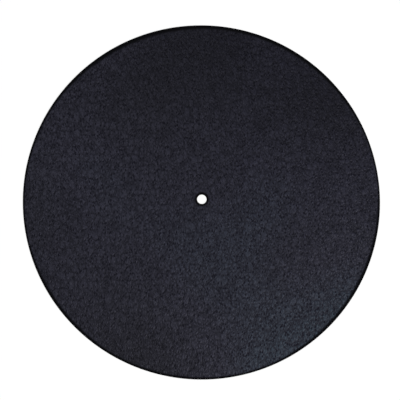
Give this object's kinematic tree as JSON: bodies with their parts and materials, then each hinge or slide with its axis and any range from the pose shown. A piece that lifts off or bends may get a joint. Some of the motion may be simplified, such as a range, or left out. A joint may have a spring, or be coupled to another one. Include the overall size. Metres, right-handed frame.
{
  "type": "turntable platter mat",
  "caption": "Thin round mat of black grained leather, with a central hole that drops over a turntable's spindle.",
  "frame": {"origin": "on the axis of the spindle hole, in the plane of the mat's underside, which lies on the platter", "axes": "+Z along the spindle's axis, from the platter up to the record; X and Y in the mat's plane"},
  "size_m": [0.3, 0.3, 0.002],
  "materials": {
    "leather": "grained"
  },
  "bodies": {
    "root": {"platter_mat": "leather"}
  },
  "joints": []
}
